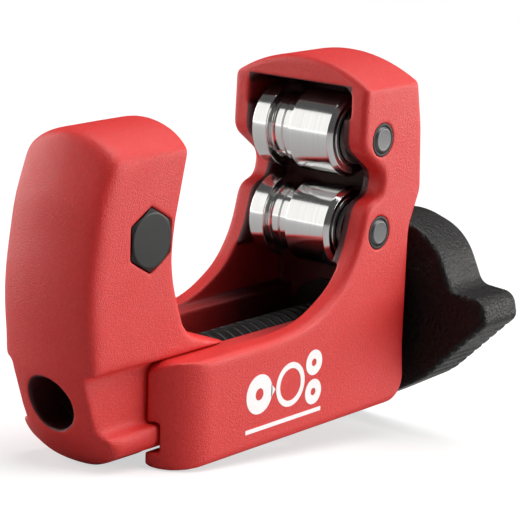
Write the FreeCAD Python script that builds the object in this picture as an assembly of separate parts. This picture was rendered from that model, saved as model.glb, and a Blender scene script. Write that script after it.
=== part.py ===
"""Mini copper-tube cutter: a cast frame with two rollers, a cast arm that carries the cutting wheel,
and a feed screw with a thumb knob that draws the arm towards the rollers.

Millimetres. +Z is up from the flat underside of the base, +X runs from the arm towards the knob,
and X = 0 is the plane that holds both roller axes. Y = 0 is the centre plane."""

import FreeCAD, Part
import math
import os
from FreeCAD import Vector

# ---------------------------------------------------------------- overall sizes
BODY_WIDTH = 25.8            # width of the frame casting
FRAME_LENGTH = 55.0          # front end of the base to the back face of the upright
FRONT_CORNER = 8.2           # plan radius of the base's front corners
HOUSING_OVER_ROLLER = 1.5    # top of the upper roller to the shoulder of the housing's roof
CROWN_RISE = 3.9             # how far the roof bulges over its shoulders
RAIL_OVER_SCREW = 1.2        # top of the screw to the top of the channel rails

# ---------------------------------------------------------------- feed screw
SCREW_Z = 10.8
SCREW_RADIUS = 3.8
THREAD_PITCH = 2.0
THREAD_DEPTH = 0.9
JOURNAL_RADIUS = 3.0
SCREW_TIP_INSET = 1.3        # end of the screw, inside the front end of the base
BUSH_SHANK_RADIUS = 4.6
BUSH_FLANGE_RADIUS = 7.0
BUSH_FLANGE = 1.0
THRUST_WASHER_WIDTH = 3.4    # radial width of the washer behind the upright

# ---------------------------------------------------------------- rollers and their pins
ROLLER_RADIUS = 6.5
ROLLER_GAP = 1.4             # between the two rollers
ROLLER_OVER_RAILS = 5.9      # channel rails to the bottom of the lower roller
ROLLER_ROOM = 0.4            # radial room round the rollers in the upright
ROLLER_CHAMFER = 0.65
FLARE_GROOVE_WIDTH = 4.4
FLARE_GROOVE_DEPTH = 1.2
FLARE_GROOVE_Y = 2.6         # middle of the groove that clears a flared tube end
ROLLER_PIN_RADIUS = 2.1
ROLLER_BUSH_WALL = 1.0
PIN_PROUD = 0.2              # how far a pin's ends stand out of the cheeks
PIN_RING_WIDTH = 0.5
PIN_RING_DEPTH = 0.8
CHEEK_WALL = 3.0
CHEEK_PAD = 1.2              # raised pads on the cheeks' inner faces
FAR_PAD_CUT = 0.4            # the far pads are this much lower, so the rollers sit to the far side
ROLLER_WASHER = 0.8
ROOF_WALL = 3.9              # roof thickness at its middle
REAR_WALL = 3.3
POCKET_WALL = 1.3            # what the roller pockets leave of the upright's back

# ---------------------------------------------------------------- arm
ARM_INSIDE_BODY = 4.25       # each side of the arm, in from the frame's side
ARM_NECK_INSET = 1.8         # each side of the narrow neck, in from the arm's side
ARM_OVER_WHEEL = 11.9        # wheel axis to the arm's top edges
ARM_CROWN_RISE = 3.5
ARM_OVERHANG = 14.6          # furthest point of the arm's bulging front, beyond the base
FRONT_BULGE_RADIUS = 25.5    # plan radius of the arm's bulging front
LIP_TOP = 6.7                # the lip is the foot's wide bottom, held under the rails
LIP_BOTTOM = 2.9
HEEL_RADIUS = 10.4           # round underside of the arm's front, about the screw axis
HEEL_LENGTH = 16.9
TOE_BELOW_RAILS = 0.4        # end of the toe, below the channel rails
TOE_GAP = 0.7                # toe to the screw's bush, with the cutter closed
ARM_FILLET = 1.0
SLIDE_CLEARANCE = 0.3
SCREW_CLEARANCE = 0.15       # radial room round the screw where it passes through the arm
NUT_WALL = 1.55
NUT_LENGTH = 13.0
NUT_INSET = 9.4              # front of the nut, behind the arm's front

# ---------------------------------------------------------------- cutting wheel and its axle
WHEEL_INSET = 13.65          # wheel axis behind the arm's front
WHEEL_BELOW_MIDDLE = 1.7     # wheel axis below the middle of the two rollers
WHEEL_RADIUS = 9.0
WHEEL_STOP = 0.25            # closed wheel's edge, in front of the rollers
WHEEL_WIDTH = 3.6
WHEEL_EDGE_ANGLE = 22.0      # half angle of the ground edge, from the wheel's plane
AXLE_RADIUS = 2.4
WHEEL_SLOT_WIDTH = 5.2
HEX_FLATS = 8.0
HEX_HEIGHT = 3.2
HEX_PROUD = 0.2
AXLE_NUT_FLATS = 7.0
AXLE_NUT_HEIGHT = 2.4

# ---------------------------------------------------------------- knob
KNOB_GAP = 3.1               # back face of the upright to the knob's lobes, clear of the housing's bulge
KNOB_HUB_GAP = 1.0           # back face of the upright to the knob's hub
KNOB_THICKNESS = 9.7
KNOB_HUB_RADIUS = 9.0
KNOB_ARC_RADIUS = 12.8
KNOB_ARC_Y = 6.0             # centre of each lobe's round back, from the screw axis
KNOB_ARC_Z = 4.7
KNOB_REACH = 25.7            # screw axis to a lobe's tip
KNOB_FILLET = 0.9
RIB_PITCH = 1.9
RIB_RADIUS = 0.35
RIB_COUNT = 8
KNOB_INSERT_RADIUS = 4.6
KNOB_CAP_WALL = 1.2
DRIVE_SQUARE = 4.0           # square end of the screw that turns the knob

# ---------------------------------------------------------------- fits
RUNNING = 0.05               # radial clearance of a shaft that turns in a hole
SIDE_PLAY = 0.05             # axial clearance of washers and rollers
CASTING_FILLET = 1.0

# ---------------------------------------------------------------- derived places
HALF = BODY_WIDTH / 2
CHANNEL_TOP = SCREW_Z + SCREW_RADIUS + RAIL_OVER_SCREW
LOWER_ROLLER_Z = CHANNEL_TOP + ROLLER_OVER_RAILS + ROLLER_RADIUS
UPPER_ROLLER_Z = LOWER_ROLLER_Z + 2 * ROLLER_RADIUS + ROLLER_GAP
ROLLER_ZS = (UPPER_ROLLER_Z, LOWER_ROLLER_Z)
MIDDLE_Z = (UPPER_ROLLER_Z + LOWER_ROLLER_Z) / 2
FRAME_BACK = ROLLER_RADIUS + ROLLER_ROOM + POCKET_WALL
FRAME_FRONT = FRAME_BACK - FRAME_LENGTH
ROOF_SHOULDER = UPPER_ROLLER_Z + ROLLER_RADIUS + HOUSING_OVER_ROLLER
ROOF_TOP = ROOF_SHOULDER + CROWN_RISE
CAVITY_HALF = HALF - CHEEK_WALL
CAVITY_ROOF = ROOF_TOP - ROOF_WALL
CAVITY_BACK = FRAME_BACK - REAR_WALL
PAD_NEAR = -(CAVITY_HALF - CHEEK_PAD)
PAD_FAR = CAVITY_HALF - CHEEK_PAD + FAR_PAD_CUT
ROLLER_NEAR = PAD_NEAR + ROLLER_WASHER + 2 * SIDE_PLAY
ROLLER_FAR = PAD_FAR - ROLLER_WASHER - 2 * SIDE_PLAY
ARM_HALF = HALF - ARM_INSIDE_BODY
NECK_HALF = ARM_HALF - ARM_NECK_INSET
SLOT_HALF = NECK_HALF + SLIDE_CLEARANCE
GROOVE_HALF = ARM_HALF + SLIDE_CLEARANCE
FLOOR = LIP_BOTTOM - SLIDE_CLEARANCE
ARM_FRONT = FRAME_FRONT - ARM_OVERHANG
WHEEL_X = ARM_FRONT + WHEEL_INSET
WHEEL_Z = MIDDLE_Z - WHEEL_BELOW_MIDDLE
TRAVEL = -ROLLER_RADIUS - WHEEL_STOP - WHEEL_RADIUS - WHEEL_X
ARM_TOP_SHOULDER = WHEEL_Z + ARM_OVER_WHEEL
HEEL_END = ARM_FRONT + HEEL_LENGTH
TOE_END = CAVITY_BACK - BUSH_FLANGE - TRAVEL - TOE_GAP
NUT_RADIUS = SCREW_RADIUS + NUT_WALL
NUT_FRONT = ARM_FRONT + NUT_INSET
SCREW_TIP = FRAME_FRONT + SCREW_TIP_INSET
WASHER_RADIUS = JOURNAL_RADIUS + THRUST_WASHER_WIDTH
KNOB_FRONT = FRAME_BACK + KNOB_GAP
HUB_FRONT = FRAME_BACK + KNOB_HUB_GAP
KNOB_BACK = KNOB_FRONT + KNOB_THICKNESS
INSERT_END = KNOB_BACK - KNOB_CAP_WALL
DRIVE_END = INSERT_END - 1.0
BIG = 200.0

X_AXIS = Vector(1, 0, 0)
Y_AXIS = Vector(0, 1, 0)
Z_AXIS = Vector(0, 0, 1)


# ---------------------------------------------------------------- helpers
def box(x0, x1, y0, y1, z0, z1):
    """A block between two corners."""
    return Part.makeBox(x1 - x0, y1 - y0, z1 - z0, Vector(x0, y0, z0))


def rod_x(radius, x0, x1, y=0.0, z=SCREW_Z):
    """A round bar along X."""
    return Part.makeCylinder(radius, x1 - x0, Vector(x0, y, z), X_AXIS)


def rod_y(radius, y0, y1, x, z):
    """A round bar along Y."""
    return Part.makeCylinder(radius, y1 - y0, Vector(x, y0, z), Y_AXIS)


def hex_y(flats, y0, y1, x, z):
    """A hexagonal bar along Y with two corners up and down."""
    corner = flats / math.sqrt(3)
    points = []
    for i in range(7):
        angle = math.radians(90 + 60 * i)
        points.append(Vector(x + corner * math.cos(angle), y0, z + corner * math.sin(angle)))
    return Part.Face(Part.makePolygon(points)).extrude(Vector(0, y1 - y0, 0))


def corner_arc(before, corner, after, radius):
    """Start, middle and end of the arc that rounds a corner, with the radius its sides allow."""
    to_before = before - corner
    to_after = after - corner
    turn = to_before.getAngle(to_after)
    if radius <= 0 or abs(turn - math.pi) < 1e-3:
        return None
    reach = min(radius / math.tan(turn / 2), 0.47 * to_before.Length, 0.47 * to_after.Length)
    radius = reach * math.tan(turn / 2)
    to_before.normalize()
    to_after.normalize()
    bisector = to_before + to_after
    bisector.normalize()
    start = corner + to_before * reach
    end = corner + to_after * reach
    middle = corner + bisector * (radius / math.sin(turn / 2) - radius)
    return start, middle, end


def rounded_face(corners, place):
    """A flat face from (a, b, radius) corners; place(a, b) gives each corner in space."""
    points = [place(a, b) for a, b, _ in corners]
    count = len(corners)
    edges = []
    arcs = [corner_arc(points[i - 1], points[i], points[(i + 1) % count], corners[i][2]) for i in range(count)]
    for i in range(count):
        after = (i + 1) % count
        start = arcs[i][2] if arcs[i] else points[i]
        end = arcs[after][0] if arcs[after] else points[after]
        if (end - start).Length > 1e-6:
            edges.append(Part.LineSegment(start, end).toShape())
        if arcs[after]:
            edges.append(Part.Arc(*arcs[after]).toShape())
    return Part.Face(Part.Wire(edges))


def side_prism(corners, y0, y1):
    """An outline in (x, z) drawn out along Y."""
    return rounded_face(corners, lambda a, b: Vector(a, y0, b)).extrude(Vector(0, y1 - y0, 0))


def end_prism(corners, x0, x1):
    """An outline in (y, z) drawn out along X."""
    return rounded_face(corners, lambda a, b: Vector(x0, a, b)).extrude(Vector(x1 - x0, 0, 0))


def plan_prism(corners, z0, z1):
    """An outline in (x, y) drawn out along Z."""
    return rounded_face(corners, lambda a, b: Vector(a, b, z0)).extrude(Vector(0, 0, z1 - z0))


def crowned_end(half, bottom, shoulder, rise, x0, x1):
    """A bar along X with flat sides and an arched top."""
    left = Vector(x0, -half, shoulder)
    right = Vector(x0, half, shoulder)
    edges = [
        Part.Arc(left, Vector(x0, 0, shoulder + rise), right).toShape(),
        Part.LineSegment(right, Vector(x0, half, bottom)).toShape(),
        Part.LineSegment(Vector(x0, half, bottom), Vector(x0, -half, bottom)).toShape(),
        Part.LineSegment(Vector(x0, -half, bottom), left).toShape(),
    ]
    return Part.Face(Part.Wire(edges)).extrude(Vector(x1 - x0, 0, 0))


def soften(solid, radius, wanted):
    """Fillets the edges that wanted(edge) picks."""
    return solid.makeFillet(radius, [edge for edge in solid.Edges if wanted(edge)])


def on_side(half):
    """Picks edges that lie wholly in one of the two faces y = -half and y = half."""
    def wanted(edge):
        box_of = edge.BoundBox
        flat = box_of.YLength < 1e-4
        return flat and abs(abs(box_of.YMin) - half) < 1e-3
    return wanted


def turned(profile, centre, axis):
    """A solid turned from (radius, along) points about an axis through centre."""
    across = Y_AXIS if abs(axis.x) > 0.5 else X_AXIS
    points = [centre + across * r + axis * a for r, a in profile]
    points.append(points[0])
    return Part.Face(Part.makePolygon(points)).revolve(centre, axis, 360)


# ---------------------------------------------------------------- frame
def frame_side():
    """Side outline of the frame: base, swept upright, the bay between the rollers, and the roof."""
    mid = MIDDLE_Z
    over = ROOF_TOP + 8
    return [
        (FRAME_FRONT, 0, 2.2),
        (FRAME_BACK + 0.8, 0, 4.5),
        (FRAME_BACK, 9.0, 15),
        (FRAME_BACK + 0.1, LOWER_ROLLER_Z - 0.4, 7),
        (FRAME_BACK + 2.8, mid - 1.9, 4),
        (FRAME_BACK + 2.2, UPPER_ROLLER_Z + 1.0, 12),
        (FRAME_BACK - 1.2, over, 0),
        (-4.2, over, 0),
        (-4.9, mid + 6.1, 3.0),
        (1.1, mid + 1.7, 2.4),
        (0.3, mid - 1.7, 2.0),
        (-3.1, mid - 2.7, 3.0),
        (-5.1, LOWER_ROLLER_Z - 2.4, 16),
        (-8.7, LOWER_ROLLER_Z - 7.4, 16),
        (-16.0, CHANNEL_TOP + 0.9, 30),
        (-24.5, CHANNEL_TOP, 30),
        (FRAME_FRONT, CHANNEL_TOP, 3.2),
    ]


def frame_outside():
    """The casting before it is hollowed: side outline, rounded front corners and crowned roof."""
    side = soften(side_prism(frame_side(), -HALF, HALF), CASTING_FILLET, on_side(HALF))
    plan = plan_prism([
        (FRAME_FRONT, -HALF, FRONT_CORNER),
        (BIG, -HALF, 0),
        (BIG, HALF, 0),
        (FRAME_FRONT, HALF, FRONT_CORNER),
    ], -1, BIG)
    crown = crowned_end(HALF, -1, ROOF_SHOULDER, CROWN_RISE, -BIG, BIG)
    outside = side.common(plan).common(crown)
    return soften(outside, CASTING_FILLET, lambda edge: edge.BoundBox.ZMax > ROOF_SHOULDER - 0.1)


def roller_cavity():
    """Open-fronted room for the rollers, narrower where the cheeks carry pads round the pins."""
    pad_bottom = LOWER_ROLLER_Z - 4.4
    pad_top = UPPER_ROLLER_Z + 3.2
    room = end_prism([
        (-CAVITY_HALF, CHANNEL_TOP, 0),
        (CAVITY_HALF, CHANNEL_TOP, 0),
        (CAVITY_HALF, CAVITY_ROOF, 1.75),
        (-CAVITY_HALF, CAVITY_ROOF, 1.75),
    ], -BIG, CAVITY_BACK)
    near_pad = box(-BIG, CAVITY_BACK, -CAVITY_HALF - 1, PAD_NEAR, pad_bottom, pad_top)
    far_pad = box(-BIG, CAVITY_BACK, PAD_FAR, CAVITY_HALF + 1, pad_bottom, pad_top)
    return room.cut(near_pad).cut(far_pad)


def slide_way():
    """The T-slot that the arm's foot slides in, open at the front, with a relief through the floor."""
    end = CAVITY_BACK
    neck = box(FRAME_FRONT - 5, end, -SLOT_HALF, SLOT_HALF, FLOOR, CHANNEL_TOP + 1)
    groove = box(FRAME_FRONT - 5, end, -GROOVE_HALF, GROOVE_HALF, FLOOR, LIP_TOP + SLIDE_CLEARANCE)
    heel_half = math.sqrt(HEEL_RADIUS ** 2 - (SCREW_Z - FLOOR) ** 2) + 2 * SLIDE_CLEARANCE
    relief_end = HEEL_END + TRAVEL + 1.2
    relief = plan_prism([
        (FRAME_FRONT - 5, -heel_half, 0),
        (relief_end, -heel_half, 2.0),
        (relief_end, heel_half, 2.0),
        (FRAME_FRONT - 5, heel_half, 0),
    ], -1, FLOOR + 1)
    return neck.fuse(groove).fuse(relief)


def make_frame():
    solid = frame_outside().cut(roller_cavity()).cut(slide_way())
    for z in ROLLER_ZS:
        solid = solid.cut(rod_y(ROLLER_PIN_RADIUS, -HALF - 1, HALF + 1, 0, z))
        for side in (-1, 1):
            ends = sorted((side * (HALF + 1), side * (HALF - PIN_RING_DEPTH)))
            solid = solid.cut(rod_y(ROLLER_PIN_RADIUS + PIN_RING_WIDTH, ends[0], ends[1], 0, z))
        solid = solid.cut(rod_y(ROLLER_RADIUS + ROLLER_ROOM, PAD_NEAR, PAD_FAR, 0, z))
    solid = solid.cut(rod_x(BUSH_SHANK_RADIUS, CAVITY_BACK - 1, FRAME_BACK + 5))
    return solid.cut(rod_x(WASHER_RADIUS + SLIDE_CLEARANCE, FRAME_BACK, FRAME_BACK + 5))


# ---------------------------------------------------------------- screw bush
def make_screw_bush():
    """Flanged bush pressed through the rear wall from inside; the screw's journal turns in it."""
    flange = rod_x(BUSH_FLANGE_RADIUS, CAVITY_BACK - BUSH_FLANGE, CAVITY_BACK)
    shank = rod_x(BUSH_SHANK_RADIUS, CAVITY_BACK, FRAME_BACK - 0.1)
    bore = rod_x(JOURNAL_RADIUS + RUNNING, CAVITY_BACK - 5, FRAME_BACK + 5)
    return flange.fuse(shank).removeSplitter().cut(bore)


# ---------------------------------------------------------------- rollers
def make_roller(z):
    """Turned roller with chamfered ends and a flare groove that has a fine ridge at its middle."""
    r = ROLLER_RADIUS
    y0, y1 = ROLLER_NEAR, ROLLER_FAR
    g0 = FLARE_GROOVE_Y - FLARE_GROOVE_WIDTH / 2
    g1 = FLARE_GROOVE_Y + FLARE_GROOVE_WIDTH / 2
    floor = r - FLARE_GROOVE_DEPTH
    bore = ROLLER_PIN_RADIUS + RUNNING + ROLLER_BUSH_WALL
    slope = FLARE_GROOVE_DEPTH * 0.25
    profile = [
        (bore, y0),
        (r - ROLLER_CHAMFER, y0),
        (r, y0 + ROLLER_CHAMFER),
        (r, g0),
        (floor, g0 + slope),
        (floor, FLARE_GROOVE_Y - 0.25),
        (floor + 0.3, FLARE_GROOVE_Y),
        (floor, FLARE_GROOVE_Y + 0.25),
        (floor, g1 - slope),
        (r, g1),
        (r, y1 - ROLLER_CHAMFER),
        (r - ROLLER_CHAMFER, y1),
        (bore, y1),
    ]
    return turned(profile, Vector(0, 0, z), Y_AXIS)


def make_roller_bush(z):
    """Plain sleeve pressed into a roller, as long as the roller."""
    sleeve = rod_y(ROLLER_PIN_RADIUS + RUNNING + ROLLER_BUSH_WALL, ROLLER_NEAR, ROLLER_FAR, 0, z)
    return sleeve.cut(rod_y(ROLLER_PIN_RADIUS + RUNNING, -BIG, BIG, 0, z))


def make_roller_pin(z):
    """Ground pin with chamfered ends, pressed through both cheeks."""
    end = HALF + PIN_PROUD
    pin = rod_y(ROLLER_PIN_RADIUS, -end, end, 0, z)
    return pin.makeChamfer(0.25, [edge for edge in pin.Edges if edge.BoundBox.YLength < 1e-4])


def make_pin_rings():
    """Four black retaining rings, one round each end of each roller pin."""
    rings = []
    for z in ROLLER_ZS:
        for side in (-1, 1):
            ends = sorted((side * (HALF - PIN_RING_DEPTH), side * (HALF - 0.05)))
            ring = rod_y(ROLLER_PIN_RADIUS + PIN_RING_WIDTH, ends[0], ends[1], 0, z)
            rings.append(ring.cut(rod_y(ROLLER_PIN_RADIUS, ends[0] - 1, ends[1] + 1, 0, z)))
    return Part.makeCompound(rings)


def make_roller_washers():
    """Four thin washers that keep the rollers off the cheek pads."""
    washers = []
    near = (PAD_NEAR, PAD_NEAR + ROLLER_WASHER)
    far = (PAD_FAR - ROLLER_WASHER, PAD_FAR)
    for z in ROLLER_ZS:
        for y0, y1 in (near, far):
            washer = rod_y(ROLLER_PIN_RADIUS + 2.2, y0, y1, 0, z)
            washers.append(washer.cut(rod_y(ROLLER_PIN_RADIUS, y0 - 1, y1 + 1, 0, z)))
    return Part.makeCompound(washers)


# ---------------------------------------------------------------- arm
def arm_side():
    """Side outline of the C-shaped arm, with its heel at the front and its toe along the screw."""
    front = ARM_FRONT
    return [
        (front + 8.0, SCREW_Z - HEEL_RADIUS, 6.0),
        (front + 4.2, SCREW_Z - 4.7, 8.0),
        (front + 1.1, SCREW_Z + 5.0, 10.0),
        (front, WHEEL_Z - 6.9, 40.0),
        (front + 2.0, WHEEL_Z + 5.2, 20.0),
        (front + 5.6, ARM_TOP_SHOULDER + 3.0, 0),
        (front + 8.0, BIG, 0),
        (front + 22.0, BIG, 0),
        (front + 21.9, ARM_TOP_SHOULDER + 1.0, 6.0),
        (front + 17.9, WHEEL_Z - 3.6, 34.0),
        (front + 21.8, CHANNEL_TOP + 3.1, 5.0),
        (TOE_END, CHANNEL_TOP - TOE_BELOW_RAILS, 0),
        (TOE_END, SCREW_Z - HEEL_RADIUS, 0),
    ]


def arm_front():
    """A turned block whose round front gives the arm's bulging face."""
    centre_x = ARM_FRONT + FRONT_BULGE_RADIUS
    face = rounded_face(arm_side(), lambda a, b: Vector(a, 0, b))
    behind = Part.Face(Part.makePolygon([
        Vector(centre_x, 0, -5),
        Vector(centre_x, 0, BIG + 5),
        Vector(BIG, 0, BIG + 5),
        Vector(BIG, 0, -5),
        Vector(centre_x, 0, -5),
    ]))
    front_half = face.cut(behind)
    spread = math.degrees(math.asin(ARM_HALF / FRONT_BULGE_RADIUS)) * 3
    swept = front_half.copy()
    swept.rotate(Vector(centre_x, 0, 0), Z_AXIS, -spread)
    return swept.revolve(Vector(centre_x, 0, 0), Z_AXIS, 2 * spread)


def arm_sections():
    """What the arm keeps across its width: crowned top, narrow neck, wide lip and round heel."""
    upper = crowned_end(ARM_HALF, CHANNEL_TOP + 0.1, ARM_TOP_SHOULDER, ARM_CROWN_RISE, -BIG, BIG)
    neck = box(-BIG, BIG, -NECK_HALF, NECK_HALF, LIP_BOTTOM, CHANNEL_TOP + 0.1)
    lip = end_prism([
        (-ARM_HALF, LIP_BOTTOM, 1.6),
        (ARM_HALF, LIP_BOTTOM, 1.6),
        (ARM_HALF, LIP_TOP, 0.5),
        (-ARM_HALF, LIP_TOP, 0.5),
    ], ARM_FRONT - 5, BIG)
    heel = rod_x(HEEL_RADIUS, ARM_FRONT - 5, HEEL_END)
    heel = heel.common(box(-BIG, BIG, -ARM_HALF, ARM_HALF, -BIG, LIP_TOP))
    return upper.fuse(neck).fuse(lip).fuse(heel)


def arm_side_edge(edge):
    """Picks the arm's two outlines, above the rails."""
    above = edge.BoundBox.ZMax > CHANNEL_TOP + 2
    return above and abs(abs(edge.CenterOfMass.y) - ARM_HALF) < 0.3


def make_arm():
    prism = side_prism(arm_side(), -ARM_HALF, ARM_HALF)
    behind = box(ARM_FRONT + 11, BIG, -BIG, BIG, -BIG, BIG)
    solid = prism.common(arm_front().fuse(behind))
    solid = solid.common(arm_sections())
    solid = soften(solid, ARM_FILLET, arm_side_edge)
    solid = solid.cut(rod_x(SCREW_RADIUS + SCREW_CLEARANCE, -BIG, TOE_END + 5))
    solid = solid.cut(rod_x(NUT_RADIUS, NUT_FRONT, NUT_FRONT + NUT_LENGTH))
    slot = WHEEL_SLOT_WIDTH / 2
    pocket = rod_y(WHEEL_RADIUS + 0.8, -slot, slot, WHEEL_X, WHEEL_Z)
    mouth = box(WHEEL_X, WHEEL_X + 30, -slot, slot, WHEEL_Z - WHEEL_RADIUS - 0.8, WHEEL_Z + WHEEL_RADIUS + 0.8)
    solid = solid.cut(pocket).cut(mouth)
    solid = solid.cut(rod_y(AXLE_RADIUS, -BIG, BIG, WHEEL_X, WHEEL_Z))
    solid = solid.cut(hex_y(HEX_FLATS + 0.3, -BIG, -ARM_HALF + HEX_HEIGHT - HEX_PROUD, WHEEL_X, WHEEL_Z))
    solid = solid.cut(hex_y(AXLE_NUT_FLATS + 0.3, ARM_HALF - AXLE_NUT_HEIGHT, BIG, WHEEL_X, WHEEL_Z))
    return solid


def make_feed_nut():
    """Threaded insert pressed in the arm's foot; the screw draws it along."""
    nut = rod_x(NUT_RADIUS, NUT_FRONT, NUT_FRONT + NUT_LENGTH)
    return nut.cut(rod_x(SCREW_RADIUS + RUNNING, NUT_FRONT - 1, NUT_FRONT + NUT_LENGTH + 1))


def make_wheel_axle():
    """Axle screw with a chamfered hexagon head set in the near side of the arm."""
    head_out = -ARM_HALF - HEX_PROUD
    head_in = head_out + HEX_HEIGHT
    head = hex_y(HEX_FLATS, head_out, head_in, WHEEL_X, WHEEL_Z)
    reach = HEX_FLATS / 2 * 0.96
    chamfer = turned([
        (0, head_out),
        (reach, head_out),
        (reach + 3.0, head_out + 1.5),
        (reach + 3.0, head_in + 1),
        (0, head_in + 1),
    ], Vector(WHEEL_X, 0, WHEEL_Z), Y_AXIS)
    shank = rod_y(AXLE_RADIUS, head_in, ARM_HALF - 0.1, WHEEL_X, WHEEL_Z)
    return head.common(chamfer).fuse(shank)


def make_axle_nut():
    """Thin nut on the axle's far end, sunk in the far side of the arm."""
    nut = hex_y(AXLE_NUT_FLATS, ARM_HALF - AXLE_NUT_HEIGHT, ARM_HALF, WHEEL_X, WHEEL_Z)
    return nut.cut(rod_y(AXLE_RADIUS, 0, BIG, WHEEL_X, WHEEL_Z))


def make_wheel_washers():
    """Two thin washers between the wheel and the arm's cheeks."""
    washers = []
    slot = WHEEL_SLOT_WIDTH / 2
    thickness = slot - WHEEL_WIDTH / 2 - SIDE_PLAY
    for y0, y1 in ((-slot, -slot + thickness), (slot - thickness, slot)):
        washer = rod_y(AXLE_RADIUS + 1.6, y0, y1, WHEEL_X, WHEEL_Z)
        washers.append(washer.cut(rod_y(AXLE_RADIUS, y0 - 1, y1 + 1, WHEEL_X, WHEEL_Z)))
    return Part.makeCompound(washers)


def make_cutter_wheel():
    """Hardened wheel: a hub, a thinner web and a sharp ground edge."""
    half = WHEEL_WIDTH / 2
    web = 0.9
    land = 0.04
    bevel = (web - land) / math.tan(math.radians(WHEEL_EDGE_ANGLE))
    hub = AXLE_RADIUS + 2.4
    bore = AXLE_RADIUS + RUNNING
    profile = [
        (bore, -half),
        (hub, -half),
        (hub, -web),
        (WHEEL_RADIUS - bevel, -web),
        (WHEEL_RADIUS, -land),
        (WHEEL_RADIUS, land),
        (WHEEL_RADIUS - bevel, web),
        (hub, web),
        (hub, half),
        (bore, half),
    ]
    return turned(profile, Vector(WHEEL_X, 0, WHEEL_Z), Y_AXIS)


# ---------------------------------------------------------------- feed screw
def make_feed_screw():
    """Screw with a coarse thread drawn as rings, a journal for the bush and a square drive end."""
    thread_end = CAVITY_BACK - BUSH_FLANGE - SIDE_PLAY
    root = SCREW_RADIUS - THREAD_DEPTH
    profile = [(0, SCREW_TIP), (root, SCREW_TIP)]
    turns = int((thread_end - SCREW_TIP - THREAD_PITCH) / THREAD_PITCH)
    flank = THREAD_PITCH * 0.15
    for i in range(turns):
        x = SCREW_TIP + THREAD_PITCH * (i + 0.5)
        profile.append((root, x))
        profile.append((SCREW_RADIUS, x + flank))
        profile.append((SCREW_RADIUS, x + THREAD_PITCH / 2))
        profile.append((root, x + THREAD_PITCH / 2 + flank))
    profile.append((root, thread_end))
    profile.append((JOURNAL_RADIUS, thread_end))
    profile.append((JOURNAL_RADIUS, HUB_FRONT))
    profile.append((0, HUB_FRONT))
    screw = turned(profile, Vector(0, 0, SCREW_Z), X_AXIS)
    half = DRIVE_SQUARE / 2
    square = box(HUB_FRONT, DRIVE_END, -half, half, SCREW_Z - half, SCREW_Z + half)
    return screw.fuse(square)


def make_thrust_washer():
    """Hard washer between the back of the upright and the knob."""
    x0 = FRAME_BACK + SIDE_PLAY
    x1 = HUB_FRONT - SIDE_PLAY
    washer = rod_x(WASHER_RADIUS, x0, x1)
    return washer.cut(rod_x(JOURNAL_RADIUS, x0 - 1, x1 + 1))


# ---------------------------------------------------------------- knob
def around_arc(degrees):
    """Corner of the square-cut frame that holds a lobe's round back, at this angle about its centre."""
    reach = KNOB_ARC_RADIUS / math.cos(math.radians(23.25))
    angle = math.radians(degrees)
    return -KNOB_ARC_Y + reach * math.cos(angle), KNOB_ARC_Z + reach * math.sin(angle)


def lobe_corners():
    """Corners of the near lobe, from its round back over the hooked tip to the ribbed thumb face."""
    first = around_arc(85.25)
    second = around_arc(131.75)
    tip = -KNOB_REACH
    return [
        (first[0], first[1], KNOB_ARC_RADIUS),
        (second[0], second[1], KNOB_ARC_RADIUS),
        (tip + 6.75, KNOB_ARC_Z + 2.5, 2.2),
        (tip + 0.8, KNOB_ARC_Z + 2.05, 2.3),
        (tip, KNOB_ARC_Z - 1.8, 1.6),
        (tip + 11.1, KNOB_ARC_Z - 12.6, 14.0),
        (tip + 20.2, KNOB_ARC_Z - 17.8, 12.0),
    ]


def make_knob():
    """S-shaped thumb knob: two lobes, half a turn apart, with ribs along their thumb faces."""
    near = lobe_corners()
    far = [(-y, -z, radius) for y, z, radius in near]
    outline = rounded_face(near + far, lambda a, b: Vector(KNOB_FRONT, a, SCREW_Z + b))
    knob = outline.extrude(Vector(KNOB_THICKNESS, 0, 0))
    knob = soften(knob, KNOB_FILLET, lambda edge: edge.BoundBox.XLength < 1e-4)
    start, end = near[4], near[5]
    length = math.hypot(end[0] - start[0], end[1] - start[1])
    for sign in (1, -1):
        for i in range(RIB_COUNT):
            along = (2.6 + i * RIB_PITCH) / length
            y = sign * (start[0] + along * (end[0] - start[0]))
            z = sign * (start[1] + along * (end[1] - start[1]))
            knob = knob.cut(rod_x(RIB_RADIUS, KNOB_FRONT - 1, KNOB_BACK + 1, y, SCREW_Z + z))
    knob = knob.fuse(rod_x(KNOB_HUB_RADIUS, HUB_FRONT, KNOB_FRONT + 1))
    return knob.cut(rod_x(KNOB_INSERT_RADIUS, HUB_FRONT - 1, INSERT_END))


def make_knob_insert():
    """Metal insert moulded in the knob, with a square socket for the screw."""
    half = DRIVE_SQUARE / 2
    insert = rod_x(KNOB_INSERT_RADIUS, HUB_FRONT, INSERT_END)
    socket = box(HUB_FRONT - 1, DRIVE_END, -half, half, SCREW_Z - half, SCREW_Z + half)
    return insert.cut(socket)


# ---------------------------------------------------------------- build
NODES = {
    "frame": make_frame,
    "screw_bush": make_screw_bush,
    "top_roller_pin": lambda: make_roller_pin(UPPER_ROLLER_Z),
    "bottom_roller_pin": lambda: make_roller_pin(LOWER_ROLLER_Z),
    "pin_rings": make_pin_rings,
    "roller_washers": make_roller_washers,
    "top_roller": lambda: make_roller(UPPER_ROLLER_Z),
    "bottom_roller": lambda: make_roller(LOWER_ROLLER_Z),
    "top_roller_bush": lambda: make_roller_bush(UPPER_ROLLER_Z),
    "bottom_roller_bush": lambda: make_roller_bush(LOWER_ROLLER_Z),
    "arm": make_arm,
    "feed_nut": make_feed_nut,
    "wheel_axle": make_wheel_axle,
    "axle_nut": make_axle_nut,
    "wheel_washers": make_wheel_washers,
    "cutter_wheel": make_cutter_wheel,
    "feed_screw": make_feed_screw,
    "thrust_washer": make_thrust_washer,
    "knob": make_knob,
    "knob_insert": make_knob_insert,
}

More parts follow.
